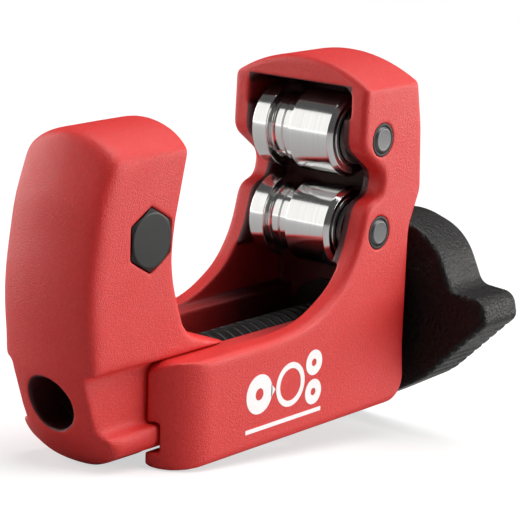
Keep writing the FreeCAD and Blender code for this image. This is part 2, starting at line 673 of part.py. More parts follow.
os.makedirs("parts", exist_ok=True)
for name, make in NODES.items():
    shape = make()
    solids = len(shape.Solids)
    shape.exportStep(f"parts/{name}.step")
    print(f"{name}: {solids} solid(s), valid {shape.isValid()}, {shape.Volume:.1f} mm3")
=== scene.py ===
# %% [markdown]
# # A mini copper-tube cutter
#
# The tool is a cast C-frame with two polished rollers, a cast arm that slides along it with a
# cutting wheel, and a black feed screw with a thumb knob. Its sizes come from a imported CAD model,
# and this lesson dresses that model: soft cast edges, textured paint, turned chrome, a real
# thread and grained plastic. Everything is in metres, in the CAD model's own frame: +X runs from
# the arm towards the knob, +Z is up, and the rollers turn about lines along Y.

import math

import bmesh
import bpy
from mathutils import Matrix, Vector


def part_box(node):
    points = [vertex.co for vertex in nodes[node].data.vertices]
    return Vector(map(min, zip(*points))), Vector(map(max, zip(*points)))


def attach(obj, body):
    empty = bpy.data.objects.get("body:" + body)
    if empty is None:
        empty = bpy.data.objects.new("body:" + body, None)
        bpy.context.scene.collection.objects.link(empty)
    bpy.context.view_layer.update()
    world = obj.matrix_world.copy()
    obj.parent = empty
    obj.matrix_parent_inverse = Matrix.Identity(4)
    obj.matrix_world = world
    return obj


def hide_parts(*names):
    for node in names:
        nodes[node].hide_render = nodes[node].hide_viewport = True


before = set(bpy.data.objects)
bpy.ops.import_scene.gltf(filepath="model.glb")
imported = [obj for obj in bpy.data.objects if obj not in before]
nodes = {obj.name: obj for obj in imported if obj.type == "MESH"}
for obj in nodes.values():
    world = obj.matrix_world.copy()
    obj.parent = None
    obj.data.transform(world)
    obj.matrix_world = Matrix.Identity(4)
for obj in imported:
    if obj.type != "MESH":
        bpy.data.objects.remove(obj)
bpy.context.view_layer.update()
MM = 0.001

# %% [markdown]
# ## The camera
#
# A long lens, low and to the left of the tool, looks along the jaw towards the rollers. The
# camera is built from three directions: back from the tool, right and up, then tipped a little.

# %% Camera
VIEW_AZIMUTH = math.radians(51.27)
VIEW_ELEVATION = math.radians(13.10)
VIEW_ROLL = math.radians(1.91)
VIEW_DISTANCE = 0.32872
VIEW_LENS = 157.2
VIEW_SHIFT = (0.0130, -0.0118)
AIM_RIGHT = 0.01774
AIM_UP = 0.02907
AIM_FROM = Vector((-0.04288, 0.0, 0.0003))


def camera_directions():
    """Unit vectors out of the back, the right side and the top of the camera, before it is tipped."""
    a, e = VIEW_AZIMUTH, VIEW_ELEVATION
    back = Vector((-math.sin(a) * math.cos(e), -math.cos(a) * math.cos(e), math.sin(e)))
    right = Vector((math.cos(a), -math.sin(a), 0.0))
    return back, right, back.cross(right)


def add_camera():
    back, right, up = camera_directions()
    place = AIM_FROM + back * VIEW_DISTANCE + right * AIM_RIGHT + up * AIM_UP
    tipped_right = math.cos(VIEW_ROLL) * right + math.sin(VIEW_ROLL) * up
    tipped_up = -math.sin(VIEW_ROLL) * right + math.cos(VIEW_ROLL) * up
    data = bpy.data.cameras.new("product_camera")
    data.sensor_width = 36.0
    data.lens = VIEW_LENS
    data.shift_x, data.shift_y = VIEW_SHIFT
    data.clip_start = 0.01
    camera = bpy.data.objects.new("product_camera", data)
    bpy.context.scene.collection.objects.link(camera)
    turn = Matrix((tipped_right, tipped_up, back)).transposed()
    camera.matrix_world = Matrix.Translation(place) @ turn.to_4x4()
    bpy.context.scene.camera = camera
    return camera


camera = add_camera()
print("camera at", tuple(round(c, 3) for c in camera.location))

# %% [markdown]
# ## Making pieces
#
# Every piece starts as a plain list of points and faces. One helper turns such a list into an
# object, smooths its shading and lets it ride on the CAD body it belongs to, so that all the
# pieces are made the same way.

# %% A helper that makes a piece
def link_piece(name, mesh, body, stands_for=()):
    """Adds a mesh to the scene as a piece that rides on a CAD body."""
    piece = bpy.data.objects.new(name, mesh)
    bpy.context.scene.collection.objects.link(piece)
    mesh.shade_smooth()
    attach(piece, body)
    if stands_for:
        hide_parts(*stands_for)
    print(f"{name}: {len(mesh.polygons)} faces, rides on {body}")
    return piece


def mesh_from(name, points, faces):
    """A mesh from points in millimetres, with its faces turned outwards."""
    mesh = bpy.data.meshes.new(name)
    mesh.from_pydata([Vector(p) * MM for p in points], [], faces)
    work = bmesh.new()
    work.from_mesh(mesh)
    bmesh.ops.remove_doubles(work, verts=work.verts, dist=1e-7)
    bmesh.ops.recalc_face_normals(work, faces=work.faces)
    work.to_mesh(mesh)
    work.free()
    return mesh


# %% [markdown]
# ## Turned pieces
#
# Rollers, pins, rings and the cutting wheel come off a lathe. A lathe piece is a profile swept
# round a line. A real edge is never perfectly sharp: it is broken by a tiny radius that catches
# the light. A bevel modifier could add it, but here every corner of the profile is rounded
# before it is swept, with a point just outside each round so that flat faces stay flat in the
# shading.

# %% Rounding the corners of a profile
def round_profile(corners, steps=5, beside=0.03):
    """Swaps each (radius, along, edge) corner for a small arc with a support point at both sides."""
    points = []
    for i, (r, a, edge) in enumerate(corners):
        here = Vector((r, a))
        before = Vector(corners[i - 1][:2]) - here if i > 0 else None
        after = Vector(corners[i + 1][:2]) - here if i + 1 < len(corners) else None
        if edge <= 0 or before is None or after is None:
            points.append(here)
            continue
        reach = min(edge, 0.45 * before.length, 0.45 * after.length)
        start = here + before.normalized() * reach
        end = here + after.normalized() * reach
        points.append(here + before.normalized() * min(reach + beside, 0.49 * before.length))
        for k in range(steps + 1):
            t = k / steps
            points.append(start.lerp(here, t).lerp(here.lerp(end, t), t))
        points.append(here + after.normalized() * min(reach + beside, 0.49 * after.length))
    return points


# %% Sweeping a profile round a line
def turned_parts(profile, centre, axis, segments):
    """Points and faces of a profile swept round the X or Y line through centre, in millimetres."""
    points, faces = [], []
    count = len(profile)
    for s in range(segments):
        angle = 2 * math.pi * s / segments
        for r, a in profile:
            across, upward = r * math.cos(angle), r * math.sin(angle)
            if axis == "X":
                points.append((centre[0] + a, centre[1] + across, centre[2] + upward))
            else:
                points.append((centre[0] + across, centre[1] + a, centre[2] + upward))
    for s in range(segments):
        here, there = s * count, (s + 1) % segments * count
        for k in range(count - 1):
            faces.append((here + k, here + k + 1, there + k + 1, there + k))
    return points, faces


def turned_piece(name, corners, centre, axis, body, stands_for, segments, closed=False):
    """A lathe piece. closed joins the profile's end to its start, for a ring."""
    profile = [(p.x, p.y) for p in round_profile(corners)]
    if closed:
        profile.append(profile[0])
    points, faces = turned_parts(profile, centre, axis, segments)
    return link_piece(name, mesh_from(name, points, faces), body, stands_for)


# %% [markdown]
# ## Sizes taken from the CAD model
#
# A CAD node's box gives its middle and its reach. Reading them here keeps this file free of
# copied numbers wherever the model can be asked.

# %% Boxes of the nodes, in millimetres
def box_mm(node):
    low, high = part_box(node)
    return low / MM, high / MM


def middle_mm(node):
    low, high = box_mm(node)
    return (low + high) / 2


roller_low, roller_high = box_mm("top_roller")
ROLLER_RADIUS = (roller_high.z - roller_low.z) / 2
roller_ends = (round(roller_low.y, 2), round(roller_high.y, 2))
print("roller radius", round(ROLLER_RADIUS, 2), "with its ends at y =", roller_ends)

# %% [markdown]
# ## The rollers
#
# Each roller is turned from bar and chromed. A groove towards its far end clears the flare of a
# flared tube, with a fine ridge left by the tool at its middle. The profile below runs along the
# outside and back through the bore, and its outer corners are rounded over 0.05 to 0.25 mm.

# %% Rollers
GROOVE_MIDDLE = 2.6
GROOVE_HALF = 2.2
GROOVE_DEPTH = 1.2
GROOVE_SLOPE = 0.3
RIDGE_HALF = 0.16
RIDGE_HEIGHT = 0.22
ROLLER_CHAMFER = 0.65
FACE_WIDTH = 0.8
FACE_RELIEF = 0.12


def roller_corners(low, high, bore):
    """Half of the outline from each end, and the groove with its ridge between them."""
    r, floor, m = ROLLER_RADIUS, ROLLER_RADIUS - GROOVE_DEPTH, GROOVE_MIDDLE
    g0, g1 = m - GROOVE_HALF, m + GROOVE_HALF
    face = r - ROLLER_CHAMFER - FACE_WIDTH
    low_step, high_step = low + FACE_RELIEF, high - FACE_RELIEF
    return [
        (bore, low, 0.0),
        (face, low, 0.05),
        (face, low_step, 0.05),
        (r - ROLLER_CHAMFER, low_step, 0.06),
        (r, low_step + ROLLER_CHAMFER, 0.08),
        (r, g0, 0.12),
        (floor, g0 + GROOVE_SLOPE, 0.25),
        (floor, m - RIDGE_HALF, 0.08),
        (floor + RIDGE_HEIGHT, m, 0.08),
        (floor, m + RIDGE_HALF, 0.08),
        (floor, g1 - GROOVE_SLOPE, 0.25),
        (r, g1, 0.12),
        (r, high_step - ROLLER_CHAMFER, 0.08),
        (r - ROLLER_CHAMFER, high_step, 0.06),
        (face, high_step, 0.05),
        (face, high, 0.05),
        (bore, high, 0.0),
    ]


bush_low, bush_high = box_mm("top_roller_bush")
ROLLER_BORE = (bush_high.z - bush_low.z) / 2
rollers = []
for which in ("top", "bottom"):
    centre = middle_mm(f"{which}_roller")
    corners = roller_corners(roller_low.y, roller_high.y, ROLLER_BORE)
    rollers.append(turned_piece(f"{which}_roller_turned", corners, (centre.x, 0.0, centre.z), "Y",
                                f"{which}_roller", [f"{which}_roller"], 256, True))

# %% [markdown]
# ## Pins and their rings
#
# Each roller turns on a ground pin pressed through both cheeks. Its ends are faced with a broad
# chamfer and stand a little proud, and a black ring holds each end in its counterbore.

# %% Roller pins and rings
PIN_CHAMFER = 0.4
PIN_CHAMFER_LENGTH = 0.35
PIN_DISH_REACH = 0.9


def pin_corners(low, high, radius):
    """Outline of a pin whose faced ends are dished by a twentieth of a millimetre."""
    return [
        (0.0, low + 0.05, 0.0),
        (radius - PIN_DISH_REACH, low + 0.03, 0.1),
        (radius - PIN_CHAMFER, low, 0.1),
        (radius, low + PIN_CHAMFER_LENGTH, 0.12),
        (radius, high - PIN_CHAMFER_LENGTH, 0.12),
        (radius - PIN_CHAMFER, high, 0.1),
        (radius - PIN_DISH_REACH, high - 0.03, 0.1),
        (0.0, high - 0.05, 0.0),
    ]


pins = []
for which in ("top", "bottom"):
    low, high = box_mm(f"{which}_roller_pin")
    centre = middle_mm(f"{which}_roller_pin")
    PIN_RADIUS = (high.z - low.z) / 2
    pins.append(turned_piece(f"{which}_roller_pin_ground", pin_corners(low.y, high.y, PIN_RADIUS),
                             (centre.x, 0.0, centre.z), "Y", "frame",
                             [f"{which}_roller_pin"], 96))

ring_low, ring_high = box_mm("pin_rings")
RING_REACH = ring_high.z - middle_mm("top_roller_pin").z
RING_DEPTH = 0.7
RING_PLAY = 0.02
RING_MIDDLE = PIN_RADIUS + 0.25
rings = []
for which in ("top", "bottom"):
    for side, end in (("near", ring_low.y), ("far", ring_high.y)):
        inward = RING_DEPTH if side == "near" else -RING_DEPTH
        centre = middle_mm(f"{which}_roller_pin")
        corners = [
            (RING_MIDDLE, end + inward, 0.0),
            (PIN_RADIUS + RING_PLAY, end + inward, 0.05),
            (PIN_RADIUS + RING_PLAY, end, 0.12),
            (RING_REACH - RING_PLAY / 2, end, 0.16),
            (RING_REACH - RING_PLAY / 2, end + inward, 0.05),
            (RING_MIDDLE, end + inward, 0.0),
        ]
        rings.append(turned_piece(f"{which}_{side}_pin_ring", corners, (centre.x, 0.0, centre.z), "Y",
                                  "frame", ["pin_rings"], 96))

# %% [markdown]
# ## The cutting wheel
#
# The wheel is hardened and ground on both sides to a sharp edge, with a hub that takes the side
# load. Its edge is the one corner on the tool that is really sharp, so it gets no radius.

# %% Cutting wheel
wheel_low, wheel_high = box_mm("cutter_wheel")
WHEEL_RADIUS = (wheel_high.z - wheel_low.z) / 2
WHEEL_HALF = (wheel_high.y - wheel_low.y) / 2
WHEEL_BORE = 2.45
WHEEL_HUB = 4.8
WHEEL_WEB = 0.9
BEVEL_START = WHEEL_RADIUS - 2.13
EDGE_GRIND = 0.6
EDGE_GRIND_HALF = 0.27
EDGE_HALF = 0.02


def half_wheel(side):
    """Outline of one side of the wheel, from its bore out to its edge."""
    return [
        (WHEEL_BORE, side * WHEEL_HALF, 0.15),
        (WHEEL_HUB, side * WHEEL_HALF, 0.2),
        (WHEEL_HUB, side * WHEEL_WEB, 0.25),
        (BEVEL_START, side * WHEEL_WEB, 0.05),
        (WHEEL_RADIUS - EDGE_GRIND, side * EDGE_GRIND_HALF, 0.04),
        (WHEEL_RADIUS, side * EDGE_HALF, 0.0),
    ]


wheel_centre = middle_mm("cutter_wheel")
wheel_corners = [(WHEEL_BORE, 0.0, 0.0)] + half_wheel(-1) + half_wheel(1)[::-1]
cutting_wheel = turned_piece("cutting_wheel_ground", wheel_corners, tuple(wheel_centre), "Y",
                             "cutter_wheel", ["cutter_wheel"], 192, True)

# %% [markdown]
# ## The feed screw
#
# The CAD model draws the thread as rings, which is enough for its weight and clearance. A real
# thread is a helix. It could be made with a screw modifier, but a direct grid is easier to
# follow: each column of points stands at one angle, and its points lie where the thread's
# profile meets that angle, a little further along for every step round. Going once round joins
# a row to the next turn's row. The thread is right-handed, as a screw turned clockwise to close
# has to be.

# %% Feed screw with a helical thread
screw_low, screw_high = box_mm("feed_screw")
SCREW_RADIUS = (screw_high.z - screw_low.z) / 2
SCREW_Z = middle_mm("feed_screw").z
PITCH = 2.0
THREAD_DEPTH = 0.9
JOURNAL_RADIUS = 3.0
THREAD_END = box_mm("screw_bush")[0].x - 0.05
THREAD_SHAPE = [
    (0.0, 0.0),
    (0.10, 0.05),
    (0.30, 0.93),
    (0.36, 1.0),
    (0.62, 1.0),
    (0.68, 0.93),
    (0.88, 0.05),
]
RUN_OUT = 0.6 * PITCH
TIP_CHAMFER = 0.6
TIP_FLAT = 0.5
SQUARE_LENGTH = 9.7
SCREW_COLUMNS = 72


def thread_parts(start, end):
    """The thread's skin as one helical grid between two planes across the screw."""
    turns = int((end - start) / PITCH) + 3
    root = SCREW_RADIUS - THREAD_DEPTH
    rows = turns * len(THREAD_SHAPE)
    points, faces = [], []
    for c in range(SCREW_COLUMNS):
        angle = 2 * math.pi * c / SCREW_COLUMNS
        for n in range(turns):
            for share, height in THREAD_SHAPE:
                x = start + PITCH * (n - 2 + share + c / SCREW_COLUMNS)
                fade = min(1.0, max(0.0, (x - start) / RUN_OUT), max(0.0, (end - x) / RUN_OUT))
                r = root + THREAD_DEPTH * height * fade
                x = min(max(x, start), end)
                points.append((x, r * math.cos(angle), SCREW_Z + r * math.sin(angle)))
    for c in range(SCREW_COLUMNS):
        last = c == SCREW_COLUMNS - 1
        for j in range(rows - 1):
            there = 0 if last else (c + 1) * rows
            k = j + len(THREAD_SHAPE) if last else j
            if k + 1 >= rows:
                continue
            faces.append((c * rows + j, c * rows + j + 1, there + k + 1, there + k))
    return points, faces


def join_parts(*parts):
    """Puts several lists of points and faces into one."""
    points, faces = [], []
    for some_points, some_faces in parts:
        first = len(points)
        points += some_points
        faces += [tuple(first + i for i in face) for face in some_faces]
    return points, faces


def make_feed_screw():
    """The thread, its chamfered tip and the plain journal. The square end is inside the knob."""
    root = SCREW_RADIUS - THREAD_DEPTH
    thread_start = screw_low.x + TIP_CHAMFER
    journal_end = screw_high.x - SQUARE_LENGTH
    thread = thread_parts(thread_start, THREAD_END)
    tip = round_profile([
        (0.0, screw_low.x, 0.0),
        (root - TIP_FLAT, screw_low.x, 0.1),
        (root, thread_start, 0.0),
    ])
    journal = round_profile([
        (root, THREAD_END, 0.0),
        (JOURNAL_RADIUS, THREAD_END, 0.05),
        (JOURNAL_RADIUS, journal_end, 0.1),
        (0.0, journal_end, 0.0),
    ])
    centre = (0.0, 0.0, SCREW_Z)
    tip_parts = turned_parts([(p.x, p.y) for p in tip], centre, "X", SCREW_COLUMNS)
    journal_parts = turned_parts([(p.x, p.y) for p in journal], centre, "X", SCREW_COLUMNS)
    points, faces = join_parts(thread, tip_parts, journal_parts)
    mesh = mesh_from("feed_screw_threaded", points, faces)
    return link_piece("feed_screw_threaded", mesh, "knob", ["feed_screw"])


feed_screw = make_feed_screw()

# %% [markdown]
# ## Cast and moulded pieces
#
# The frame, the arm, the knob and the axle's head have soft edges all over. Bevels along every
# edge of a CAD mesh often fail where fillets meet. Here the CAD shape is copied, rebuilt as an
# even skin of tiny squares by a voxel remesh, and relaxed a little: a casting's edges melt while
# its flat faces stay where they are. Places that are machined, such as the holes for the pins,
# are left out of the relaxing.

# %% Soft copies of CAD shapes
CASTING_VOXEL = 0.25
KNOB_VOXEL = 0.15
FINE_VOXEL = 0.10
CROWN_ROUNDS = 200


def between_0_and_1(value):
    return min(1.0, max(0.0, value))


def applied(piece):
    """The piece's mesh with its modifiers worked in."""
    bpy.context.view_layer.update()
    shaped = piece.evaluated_get(bpy.context.evaluated_depsgraph_get())
    mesh = bpy.data.meshes.new_from_object(shaped)
    piece.modifiers.clear()
    return mesh


def relax(piece, rounds, weights=None):
    """Lets the mesh melt for some rounds. weights(place in mm) says how much each point takes part."""
    change = piece.modifiers.new("soft_edges", "SMOOTH")
    change.factor = 0.5
    change.iterations = rounds
    if weights:
        group = piece.vertex_groups.new(name="soft")
        for v in piece.data.vertices:
            group.add([v.index], weights(v.co / MM), "REPLACE")
        change.vertex_group = "soft"
    piece.data = applied(piece)
    piece.vertex_groups.clear()


def soft_copy(name, node, voxel, rounds, body, weights=None):
    """A piece in a CAD node's shape with an even skin and melted edges."""
    piece = bpy.data.objects.new(name + "_work", nodes[node].data.copy())
    bpy.context.scene.collection.objects.link(piece)
    piece.data.materials.clear()
    skin = piece.modifiers.new("even_skin", "REMESH")
    skin.mode = "VOXEL"
    skin.voxel_size = voxel * MM
    piece.data = applied(piece)
    relax(piece, rounds, weights)
    mesh = piece.data
    mesh.name = name
    bpy.data.objects.remove(piece)
    return link_piece(name, mesh, body, [node])


# %% [markdown]
# ## The frame
#
# The frame is one zinc casting: a flat base with a slot for the arm, a swept upright and a
# hooded housing round the rollers. Around the pins the relaxing fades out, so their counterbores
# stay crisp.

# %% Frame casting
pin_places = [middle_mm("top_roller_pin"), middle_mm("bottom_roller_pin")]


def away_from_pins(place):
    """0 at the pins' counterbores, 1 away from them."""
    nearest = min(math.hypot(place.x - p.x, place.z - p.z) for p in pin_places)
    return between_0_and_1((nearest - RING_REACH - 0.25) / 0.6)


frame_casting = soft_copy("frame_casting", "frame", CASTING_VOXEL, 12, "frame", away_from_pins)

# %% [markdown]
# ## The arm
#
# The arm is the other casting. Its crown, its bulging front and its hooked foot run into one
# another, so its edges are softer than the frame's. It is relaxed all over, apart from the seats
# of the axle, and then for many more rounds on its crown and its front.

# %% Arm casting
axle_place = middle_mm("wheel_axle")
arm_low = box_mm("arm")[0]
HEX_SEAT = 4.9
MELT_BACK = 15.0
MELT_FADE = 5.0
BORE_RIM = 5.0
HEEL_TOP = 9.0


def away_from_axle(place):
    """0 in the seats of the axle's head and nut, 1 away from them."""
    distance = math.hypot(place.x - axle_place.x, place.z - axle_place.z)
    return between_0_and_1((distance - HEX_SEAT) / 0.8)


def melted_front(place):
    """1 on the arm's crown and bulging front, a half at its heel, 0 at the jaw, the bore and the axle."""
    along = between_0_and_1((arm_low.x + MELT_BACK - place.x) / MELT_FADE)
    high = between_0_and_1((place.z - 15.0) / MELT_FADE)
    off_bore = between_0_and_1((math.hypot(place.y, place.z - SCREW_Z) - BORE_RIM) / 3.0)
    heel = 0.5 * between_0_and_1((HEEL_TOP - place.z) / 3.0)
    return max(along * high, along * heel) * off_bore * away_from_axle(place)


arm_casting = soft_copy("arm_casting", "arm", CASTING_VOXEL, 30, "arm", away_from_axle)
relax(arm_casting, CROWN_ROUNDS, melted_front)
arm_casting.data.shade_smooth()

# %% [markdown]
# ### Running clearance
#
# The arm slides a tenth of a millimetre above the frame's rails. Melting fills inner corners a
# little, so the arm's underside is planed flat again there, and so are the tops of the rails.

# %% Planing the sliding faces
RAIL_TOP = 15.8
RAIL_END = -24.5
UNDERSIDE = 15.93
NECK_HALF = 6.95
REACH_DOWN = 1.33
REACH_UP = 0.3


def plane_faces():
    """Moves the points near the two sliding planes onto them, and says how many it moved."""
    raised, lowered = 0, 0
    for v in arm_casting.data.vertices:
        place = v.co / MM
        if abs(place.y) > NECK_HALF and UNDERSIDE - REACH_DOWN < place.z < UNDERSIDE:
            v.co.z = UNDERSIDE * MM
            raised += 1
    for v in frame_casting.data.vertices:
        place = v.co / MM
        if place.x < RAIL_END and RAIL_TOP < place.z < RAIL_TOP + REACH_UP:
            v.co.z = RAIL_TOP * MM
            lowered += 1
    return raised, lowered


print("points planed on the arm and the frame:", plane_faces())

# %% [markdown]
# ## The knob, the axle and its nut
#
# The thumb knob is a thick moulding in the shape of a lazy S, with fine ribs on its two thumb
# faces. The axle's hexagon head has a turned chamfer. Both are rebuilt with a finer skin, so the
# ribs and the chamfer survive.

# %% Knob, axle and nut
thumb_knob = soft_copy("thumb_knob", "knob", KNOB_VOXEL, 2, "knob")
hex_axle = soft_copy("hex_axle", "wheel_axle", FINE_VOXEL, 2, "arm")
locking_nut = soft_copy("locking_nut", "axle_nut", FINE_VOXEL, 2, "arm")

# %% [markdown]
# ## The printed mark
#
# Tools like this carry a white print on the side of the base. A plain pictogram stands there: a
# tube seen end-on between the cutting wheel and the two rollers, over a rule. It could be a mask
# in the paint's nodes, but a thin layer of real ink keeps its outline crisp at any distance.

# %% Printed mark
INK_OUT = 0.03
INK_SINK = 0.03
MARK_X = -20.8
MARK_Z = 8.4
MARK_SCALE = 1.3


def ring_parts(x, z, outer, inner, front, back, steps=64):
    """A flat ring of ink."""
    points, faces = [], []
    for y in (front, back):
        for r in (outer, inner):
            for s in range(steps):
                angle = 2 * math.pi * s / steps
                points.append((x + r * math.cos(angle), y, z + r * math.sin(angle)))
    for s in range(steps):
        t = (s + 1) % steps
        faces.append((s, t, steps + t, steps + s))
        faces.append((2 * steps + s, 3 * steps + s, 3 * steps + t, 2 * steps + t))
        faces.append((s, 2 * steps + s, 2 * steps + t, t))
        faces.append((steps + s, steps + t, 3 * steps + t, 3 * steps + s))
    return points, faces


def slab_parts(outline, front, back):
    """A flat shape of ink from its corners in (x, z)."""
    count = len(outline)
    points = [(x, front, z) for x, z in outline] + [(x, back, z) for x, z in outline]
    faces = [tuple(range(count)), tuple(range(2 * count - 1, count - 1, -1))]
    for i in range(count):
        j = (i + 1) % count
        faces.append((i, count + i, count + j, j))
    return points, faces


def make_mark():
    """The pictogram, from the middle of the tube outwards, in units of MARK_SCALE millimetres."""
    side = box_mm("frame")[0].y
    front, back = side - INK_OUT, side + INK_SINK

    def ring(x, z, outer, inner):
        return ring_parts(MARK_X + MARK_SCALE * x, MARK_Z + MARK_SCALE * z, MARK_SCALE * outer,
                          MARK_SCALE * inner, front, back)

    def slab(outline):
        placed = [(MARK_X + MARK_SCALE * x, MARK_Z + MARK_SCALE * z) for x, z in outline]
        return slab_parts(placed, front, back)

    tube = ring(0.0, 0.0, 2.6, 1.9)
    wheel = ring(-5.6, 0.0, 2.3, 0.7)
    edge = slab([(-3.5, 0.8), (-2.75, 0.0), (-3.5, -0.8)])
    upper = ring(4.3, 1.75, 1.5, 0.45)
    lower = ring(4.3, -1.75, 1.5, 0.45)
    rule = slab([(-7.9, -4.3), (5.8, -4.3), (5.8, -3.8), (-7.9, -3.8)])
    points, faces = join_parts(tube, wheel, edge, upper, lower, rule)
    return link_piece("printed_mark", mesh_from("printed_mark", points, faces), "frame")


printed_mark = make_mark()
printed_mark.data.shade_flat()

# %% [markdown]
# ## Effects that several finishes share
#
# Grain, tool marks and handling smudges are each built once as a node group and placed in the
# materials with their own numbers. They read the object's own coordinates, in metres, so a grain
# has one true size on every piece.

# %% Helpers for nodes
def new_group(name, inputs, outputs):
    """An empty shader group with its named sockets. Gives back the group and its two end nodes."""
    group = bpy.data.node_groups.new(name, "ShaderNodeTree")
    for label, kind, value in inputs:
        socket = group.interface.new_socket(name=label, in_out="INPUT", socket_type=kind)
        socket.default_value = value
    for label, kind in outputs:
        group.interface.new_socket(name=label, in_out="OUTPUT", socket_type=kind)
    return group, group.nodes.new("NodeGroupInput"), group.nodes.new("NodeGroupOutput")


def add_node(tree, kind, settings=None, **values):
    """A node with its settings and socket values; i0, i1 count sockets, and a socket value is linked."""
    node = tree.nodes.new(kind)
    for key, value in (settings or {}).items():
        setattr(node, key, value)
    for key, value in values.items():
        by_number = key[0] == "i" and key[1:].isdigit()
        socket = node.inputs[int(key[1:]) if by_number else key.replace("_", " ")]
        if isinstance(value, bpy.types.NodeSocket):
            tree.links.new(value, socket)
        else:
            socket.default_value = value
    return node


def vector_node(tree, operation, a, b):
    return add_node(tree, "ShaderNodeVectorMath", {"operation": operation}, i0=a, i1=b)


def math_node(tree, operation, a, b=0.0):
    return add_node(tree, "ShaderNodeMath", {"operation": operation}, i0=a, i1=b).outputs[0]


def noise(tree, where, scale, detail=2.0, roughness=0.5):
    return add_node(tree, "ShaderNodeTexNoise", None, Vector=where, Scale=scale, Detail=detail,
                    Roughness=roughness).outputs["Fac"]


def spread(tree, value, low, high, to_low=0.0, to_high=1.0):
    """Stretches a value's range from low..high to to_low..to_high."""
    node = add_node(tree, "ShaderNodeMapRange", None, i0=value, i1=low, i2=high, i3=to_low, i4=to_high)
    return node.outputs[0]


# %% [markdown]
# ### Cast grain
#
# Powder paint on a casting has two sizes of relief: fine beads a fifth of a millimetre across,
# and slow waves of a few millimetres from the mould. One group mixes both and also gives a mottle
# that shifts the colour where the paint lies thicker. Moulded plastic uses it with larger beads.

# %% Cast grain group
def build_cast_grain():
    group, given, out = new_group("cast_grain", [
        ("Bead Scale", "NodeSocketFloat", 4200.0),
        ("Wave Scale", "NodeSocketFloat", 500.0),
        ("Wave Share", "NodeSocketFloat", 0.4),
    ], [("Height", "NodeSocketFloat"), ("Mottle", "NodeSocketFloat")])
    where = group.nodes.new("ShaderNodeTexCoord").outputs["Object"]
    beads = noise(group, where, given.outputs["Bead Scale"], 3.0, 0.55)
    waves = noise(group, where, given.outputs["Wave Scale"], 3.0, 0.5)
    share = given.outputs["Wave Share"]
    height = math_node(group, "ADD", beads, math_node(group, "MULTIPLY", waves, share))
    group.links.new(height, out.inputs["Height"])
    both = math_node(group, "ADD", spread(group, beads, 0.3, 0.7), spread(group, waves, 0.3, 0.7))
    group.links.new(math_node(group, "MULTIPLY", both, 0.5), out.inputs["Mottle"])
    return group


cast_grain = build_cast_grain()
print("group", cast_grain.name)

# %% [markdown]
# ### Tool marks
#
# A lathe leaves rings round its axis, both along a barrel and across its faces. The group reads
# how far a point is along the axis and how far it is from it, and feeds both to a noise that is
# stretched hard, so it draws fine uneven rings.

# %% Tool marks group
def build_tool_marks():
    group, given, out = new_group("tool_marks", [
        ("Centre", "NodeSocketVector", (0.0, 0.0, 0.0)),
        ("Axis", "NodeSocketVector", (0.0, 1.0, 0.0)),
        ("Ring Scale", "NodeSocketFloat", 9000.0),
    ], [("Height", "NodeSocketFloat"), ("Streak", "NodeSocketFloat")])
    where = group.nodes.new("ShaderNodeTexCoord").outputs["Object"]
    axis = given.outputs["Axis"]
    from_centre = vector_node(group, "SUBTRACT", where, given.outputs["Centre"]).outputs[0]
    along = vector_node(group, "DOT_PRODUCT", from_centre, axis).outputs["Value"]
    off_axis = vector_node(group, "CROSS_PRODUCT", from_centre, axis).outputs[0]
    radius = add_node(group, "ShaderNodeVectorMath", {"operation": "LENGTH"}, i0=off_axis).outputs["Value"]
    ring_place = add_node(group, "ShaderNodeCombineXYZ", None, X=along, Y=radius).outputs[0]
    rings = noise(group, ring_place, given.outputs["Ring Scale"], 4.0, 0.7)
    slow = noise(group, where, 260.0, 2.0, 0.5)
    group.links.new(rings, out.inputs["Height"])
    patchy = spread(group, slow, 0.3, 0.7, 0.6, 1.0)
    streak = math_node(group, "MULTIPLY", spread(group, rings, 0.35, 0.7), patchy)
    group.links.new(streak, out.inputs["Streak"])
    return group


tool_marks = build_tool_marks()
print("group", tool_marks.name)

# %% [markdown]
# ### Handling smudges
#
# Fingers and cloths leave soft patches where the gloss changes. The group gives one mask that
# every finish adds to its roughness in its own amount.

# %% Smudge group
def build_smudges():
    """Soft patches whose size falls as the scale rises."""
    group, given, out = new_group("smudges", [("Size", "NodeSocketFloat", 130.0)],
                                  [("Mask", "NodeSocketFloat")])
    where = group.nodes.new("ShaderNodeTexCoord").outputs["Object"]
    patches = noise(group, where, given.outputs["Size"], 5.0, 0.6)
    group.links.new(spread(group, patches, 0.42, 0.68), out.inputs["Mask"])
    return group


smudges = build_smudges()
print("group", smudges.name)

# %% [markdown]
# ### Painted shade in deep recesses
#
# This group paints shade into the paint's colour. It gives a mask for where little light reaches:
# between the frame's cheeks it grows with depth, and inside the screw's bore it is full, and the
# paint is darkened there as painted shade.

# %% Painted shade group
ROOF_LEVEL = 50.7 * MM
BASE_LEVEL = 0.8 * MM
BACK_LEVEL = 7.0 * MM
EDGE_FADE = 0.3 * MM
LEVEL_FADE = 0.4 * MM
